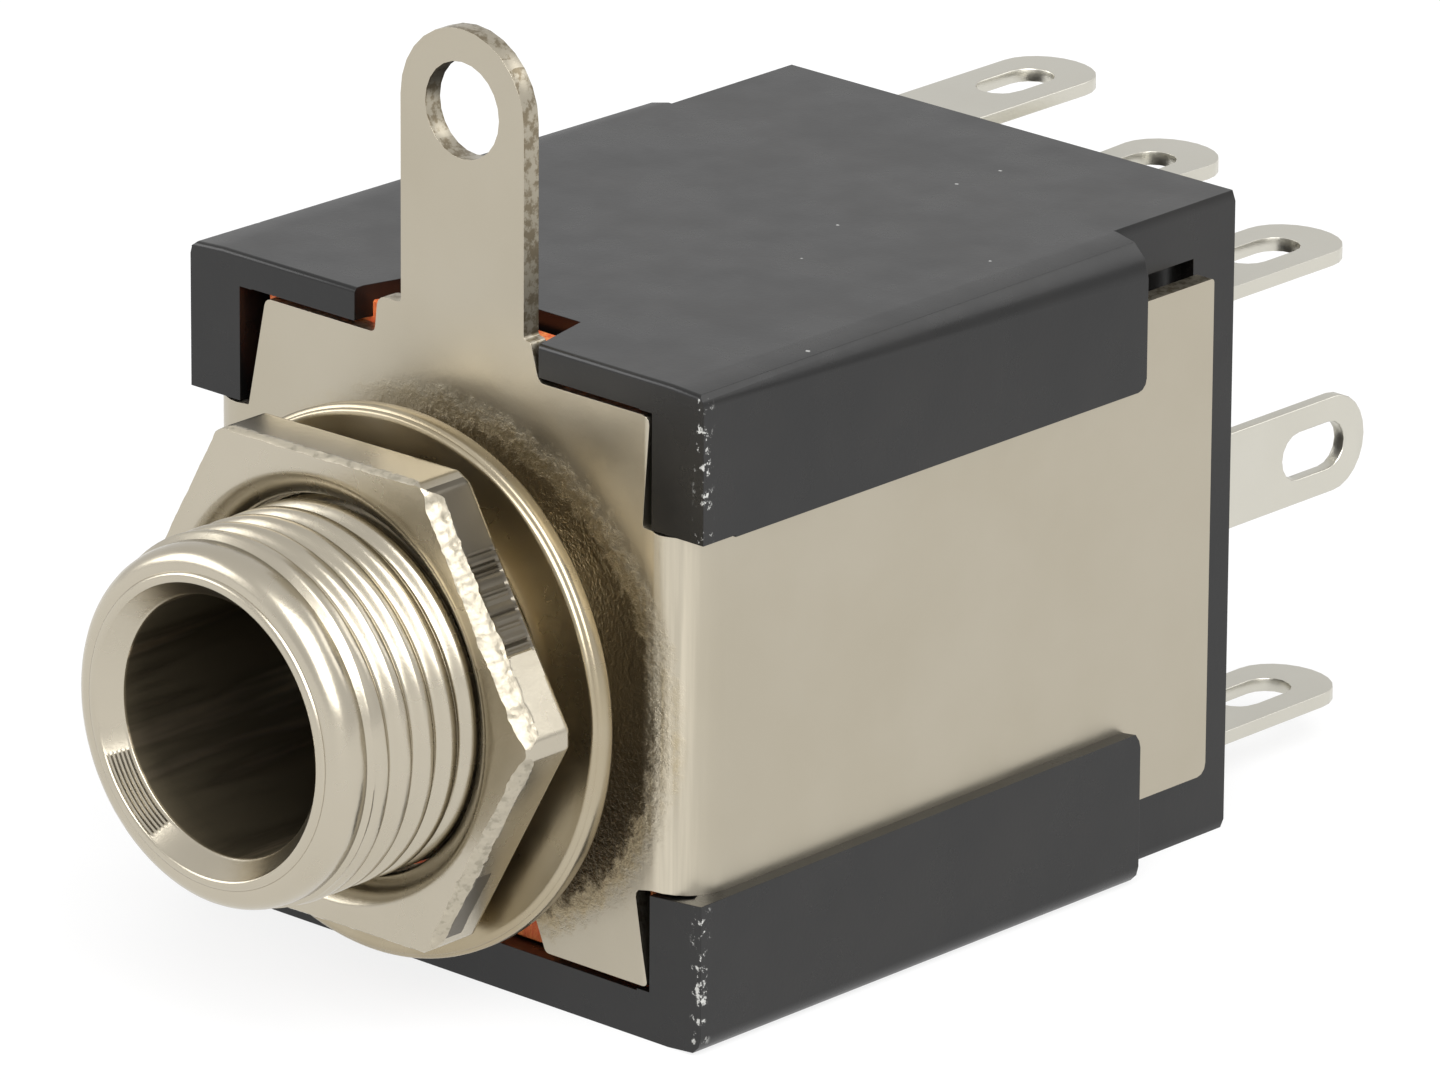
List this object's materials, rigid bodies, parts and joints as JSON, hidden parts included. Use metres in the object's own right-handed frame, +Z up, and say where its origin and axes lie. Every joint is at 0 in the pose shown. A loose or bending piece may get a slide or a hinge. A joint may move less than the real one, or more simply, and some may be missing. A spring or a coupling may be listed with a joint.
{
  "type": "audio jack socket",
  "caption": "Panel jack socket with threaded nose, hex nut, washer, moulded housing, folded metal bracket, plug contacts and changeover switches with solder lugs.",
  "frame": {"origin": "middle of the flat underside, halfway between the front of the nose and the tips of the lugs", "axes": "+Z up from the underside, the plug goes in along +Y, X across the socket, all in metres"},
  "size_m": [0.0164, 0.0346, 0.0233],
  "materials": {
    "black_moulding": "satin black phenolic moulding",
    "plated_steel": "dull nickel plate on sheet steel",
    "plated_brass": "nickel plate on turned brass",
    "tinned_bronze": "tinned phosphor bronze strip",
    "red_fibre": "red vulcanised fibre"
  },
  "bodies": {
    "socket": {"housing": "black_moulding", "front_bracket": "plated_steel", "threaded_bushing": "plated_brass", "front_insulator": "red_fibre", "tip_terminal": "tinned_bronze", "ring_terminal": "tinned_bronze", "upper_make_terminal": "tinned_bronze", "upper_common_terminal": "tinned_bronze", "upper_break_terminal": "tinned_bronze", "lower_make_terminal": "tinned_bronze", "lower_common_terminal": "tinned_bronze", "lower_break_terminal": "tinned_bronze"},
    "washer": {"flat_washer": "plated_steel"},
    "nut": {"hex_nut": "plated_brass"},
    "tip_spring": {"tip_blade": "tinned_bronze"},
    "ring_spring": {"ring_blade": "tinned_bronze"},
    "upper_spring": {"upper_switch_blade": "tinned_bronze", "upper_pusher": "red_fibre"},
    "lower_spring": {"lower_switch_blade": "tinned_bronze", "lower_pusher": "red_fibre"}
  },
  "joints": [
    {"name": "washer_slide", "type": "slide", "parent": "socket", "child": "washer", "axis": [0, 1, 0], "range_m": [-0.003, 0.0009]},
    {"name": "nut_turn", "type": "hinge", "parent": "washer", "child": "nut", "pos_m": [0, -0.01293, 0.00805], "axis": [0, 1, 0], "range_deg": [-1441, 433]},
    {"name": "tip_flex", "type": "hinge", "parent": "socket", "child": "tip_spring", "pos_m": [0.0046, -0.0046, 0.00805], "axis": [0, 0, -1], "range_deg": [0, 3], "stiffness_Nm_per_rad": 0.02},
    {"name": "ring_flex", "type": "hinge", "parent": "socket", "child": "ring_spring", "pos_m": [-0.0046, -0.0046, 0.00805], "axis": [0, 0, 1], "range_deg": [0, 3], "stiffness_Nm_per_rad": 0.02},
    {"name": "upper_flex", "type": "hinge", "parent": "socket", "child": "upper_spring", "pos_m": [0, 0.0076, 0.01395], "axis": [-1, 0, 0], "range_deg": [0, 2.4], "stiffness_Nm_per_rad": 0.02, "springref_deg": -1.15},
    {"name": "lower_flex", "type": "hinge", "parent": "socket", "child": "lower_spring", "pos_m": [0, 0.0076, 0.0025], "axis": [1, 0, 0], "range_deg": [0, 2.4], "stiffness_Nm_per_rad": 0.02, "springref_deg": -1.15}
  ],
  "couplings": [
    {"joint": "nut_turn", "follows": "washer_slide", "rad_per_m": 8377.6}
  ]
}
